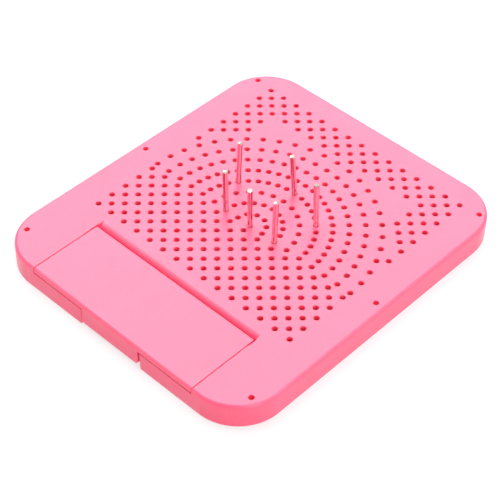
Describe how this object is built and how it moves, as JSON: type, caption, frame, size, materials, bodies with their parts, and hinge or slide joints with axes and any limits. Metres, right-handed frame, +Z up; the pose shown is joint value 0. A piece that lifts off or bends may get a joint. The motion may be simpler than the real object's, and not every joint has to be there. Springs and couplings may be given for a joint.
{
  "type": "paper quilling pin board",
  "caption": "Flat hollow pin board for paper quilling: round-cornered perforated top, loose steel pins standing in its holes, and a hinged lid over a pin store along one edge.",
  "frame": {"origin": "middle of the board's underside, where it rests on a table", "axes": "+Z up out of the perforated face, +Y along the board's long side away from the storage lid, +X to the right when the lid is towards the viewer"},
  "size_m": [0.1226, 0.1424, 0.0285],
  "materials": {
    "board_plastic": "fine satin moulded pink plastic",
    "lid_plastic": "fine satin moulded pink plastic",
    "pin_steel": "bright drawn wire with sheared ends"
  },
  "bodies": {
    "board": {"board_shell": "board_plastic", "base_plate": "board_plastic", "spare_pin_1": "pin_steel", "spare_pin_2": "pin_steel", "spare_pin_3": "pin_steel", "spare_pin_4": "pin_steel", "spare_pin_5": "pin_steel", "spare_pin_6": "pin_steel", "spare_pin_7": "pin_steel", "spare_pin_8": "pin_steel", "spare_pin_9": "pin_steel", "spare_pin_10": "pin_steel", "spare_pin_11": "pin_steel", "spare_pin_12": "pin_steel", "spare_pin_13": "pin_steel"},
    "lid": {"storage_lid": "lid_plastic"},
    "pin_1": {"standing_pin_1": "pin_steel"},
    "pin_2": {"standing_pin_2": "pin_steel"},
    "pin_3": {"standing_pin_3": "pin_steel"},
    "pin_4": {"standing_pin_4": "pin_steel"},
    "pin_5": {"standing_pin_5": "pin_steel"},
    "pin_6": {"standing_pin_6": "pin_steel"}
  },
  "joints": [
    {"name": "lid_hinge", "type": "hinge", "parent": "board", "child": "lid", "pos_m": [0, -0.0432, 0.0074], "axis": [-1, 0, 0], "range_deg": [0, 110]},
    {"name": "pin_1_pull", "type": "slide", "parent": "board", "child": "pin_1", "axis": [-0.0106, 0.0459, 0.9989], "range_m": [0, 0.009]},
    {"name": "pin_2_pull", "type": "slide", "parent": "board", "child": "pin_2", "axis": [-0.0516, -0.0614, 0.9968], "range_m": [0, 0.009]},
    {"name": "pin_3_pull", "type": "slide", "parent": "board", "child": "pin_3", "axis": [-0.0237, -0.0111, 0.9997], "range_m": [0, 0.009]},
    {"name": "pin_4_pull", "type": "slide", "parent": "board", "child": "pin_4", "axis": [0.0293, -0.0575, 0.9979], "range_m": [0, 0.009]},
    {"name": "pin_5_pull", "type": "slide", "parent": "board", "child": "pin_5", "axis": [-0.0244, 0.0423, 0.9988], "range_m": [0, 0.009]},
    {"name": "pin_6_pull", "type": "slide", "parent": "board", "child": "pin_6", "axis": [-0.0737, 0.0268, 0.9969], "range_m": [0, 0.009]}
  ]
}
